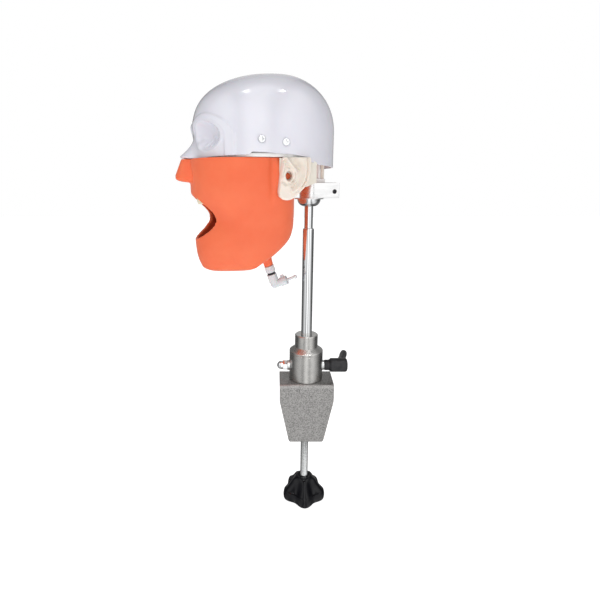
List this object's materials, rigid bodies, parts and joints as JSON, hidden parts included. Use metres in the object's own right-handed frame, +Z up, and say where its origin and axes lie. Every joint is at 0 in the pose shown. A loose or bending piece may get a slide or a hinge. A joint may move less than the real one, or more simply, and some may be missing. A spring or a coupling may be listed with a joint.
{
  "type": "dental simulator head with typodont",
  "caption": "Mannequin head with an open mouth and jointed jaws on a tilting neck, a chromed pole and a bench clamp.",
  "frame": {"origin": "middle of the clamp's bench seat, the underside of its top arm, on the pole's axis", "axes": "+Z up along the pole, -Y towards the clamp's web, the face looks to -X and is turned 15 degrees towards -Y"},
  "size_m": [0.2429, 0.1731, 0.6283],
  "materials": {
    "cast_alloy": "grainy blasted casting",
    "socket_alloy": "fine turned and blasted",
    "zinc_steel": "bright zinc",
    "chrome": "polished chrome",
    "black_steel": "black oxide",
    "spring_steel": "drawn wire",
    "brass": "turned",
    "knob_black": "polished phenolic",
    "lever_black": "fine-textured nylon",
    "polished_steel": "polished stainless steel",
    "white_plastic": "moulded",
    "drain_white": "moulded",
    "seal_rubber": "seal",
    "cream_plastic": "moulded",
    "cap_white": "glossy moulded shell",
    "mask_silicone": "satin silicone",
    "ear_silicone": "satin silicone",
    "jaw_steel": "brushed stainless steel",
    "gum_pink": "acrylic",
    "tooth_ivory": "tooth resin"
  },
  "bodies": {
    "clamp": {"clamp_frame": "cast_alloy", "pole_socket": "socket_alloy", "socket_screws": "black_steel", "guide_screw": "zinc_steel", "guide_washer": "zinc_steel", "acorn_nut": "chrome", "lever_bush": "zinc_steel", "lock_shoe": "brass"},
    "lever_stud": {"lever_stud": "zinc_steel", "lever_screw": "chrome", "lever_spring": "spring_steel"},
    "lever_handle": {"lever_handle": "lever_black"},
    "pressure_plate": {"pressure_plate": "zinc_steel", "plate_ring": "zinc_steel"},
    "clamp_spindle": {"clamp_spindle": "zinc_steel", "star_knob": "knob_black"},
    "pole": {"pole": "chrome", "neck_cup": "chrome", "neck_disc": "polished_steel", "neck_bracket": "polished_steel", "neck_screw": "black_steel", "tilt_pin": "black_steel", "friction_washers": "brass"},
    "head": {"hinge_block": "white_plastic", "front_posts": "white_plastic", "rear_posts": "cream_plastic", "head_frame": "white_plastic", "frame_screws": "zinc_steel", "skull_cap": "cap_white", "cap_screws": "chrome", "face_mask": "mask_silicone", "ear_near": "ear_silicone", "ear_far": "ear_silicone", "ear_plate_near": "cream_plastic", "ear_plate_far": "cream_plastic", "jaw_hangers": "jaw_steel", "arch_mount": "jaw_steel", "upper_gum": "gum_pink", "upper_teeth": "tooth_ivory", "upper_arch_screw": "jaw_steel", "jaw_pins": "jaw_steel", "jaw_washers": "brass", "drain_tube": "drain_white", "drain_nut": "drain_white"},
    "jaw": {"jaw_frame": "jaw_steel", "lower_gum": "gum_pink", "lower_teeth": "tooth_ivory", "lower_arch_screw": "jaw_steel"},
    "drain": {"drain_seal": "seal_rubber", "drain_elbow": "drain_white", "hose_nut": "drain_white", "hose_barb": "drain_white"}
  },
  "joints": [
    {"name": "pole_swivel", "type": "hinge", "parent": "clamp", "child": "pole", "pos_m": [0, 0, 0.03], "axis": [0, 0, 1], "continuous": true},
    {"name": "head_tilt", "type": "hinge", "parent": "pole", "child": "head", "pos_m": [0.02994, 0.00802, 0.287], "axis": [-0.2588, 0.9659, 0], "range_deg": [-3, 75]},
    {"name": "jaw_hinge", "type": "hinge", "parent": "head", "child": "jaw", "pos_m": [-0.05796, -0.01553, 0.3], "axis": [-0.2588, 0.9659, 0], "range_deg": [-4, 24.5]},
    {"name": "drain_swivel", "type": "hinge", "parent": "head", "child": "drain", "pos_m": [-0.05796, -0.01553, 0.194], "axis": [-0.2985, -0.08, 0.9511], "range_deg": [-60, 60]},
    {"name": "lever_turn", "type": "hinge", "parent": "clamp", "child": "lever_stud", "pos_m": [0.03, 0, 0.03], "axis": [1, 0, 0], "range_deg": [-30, 90]},
    {"name": "lever_lift", "type": "slide", "parent": "lever_stud", "child": "lever_handle", "axis": [1, 0, 0], "range_m": [0, 0.004], "stiffness_N_per_m": 900, "deforming": ["lever_spring"]},
    {"name": "pad_travel", "type": "slide", "parent": "clamp", "child": "pressure_plate", "axis": [0, 0, 1], "range_m": [-0.015, 0.035]},
    {"name": "screw_turn", "type": "hinge", "parent": "pressure_plate", "child": "clamp_spindle", "pos_m": [0, 0, -0.1], "axis": [0, 0, 1], "range_deg": [-3100, 7210]}
  ],
  "couplings": [
    {"joint": "screw_turn", "follows": "pad_travel", "rad_per_m": 3590.4}
  ]
}
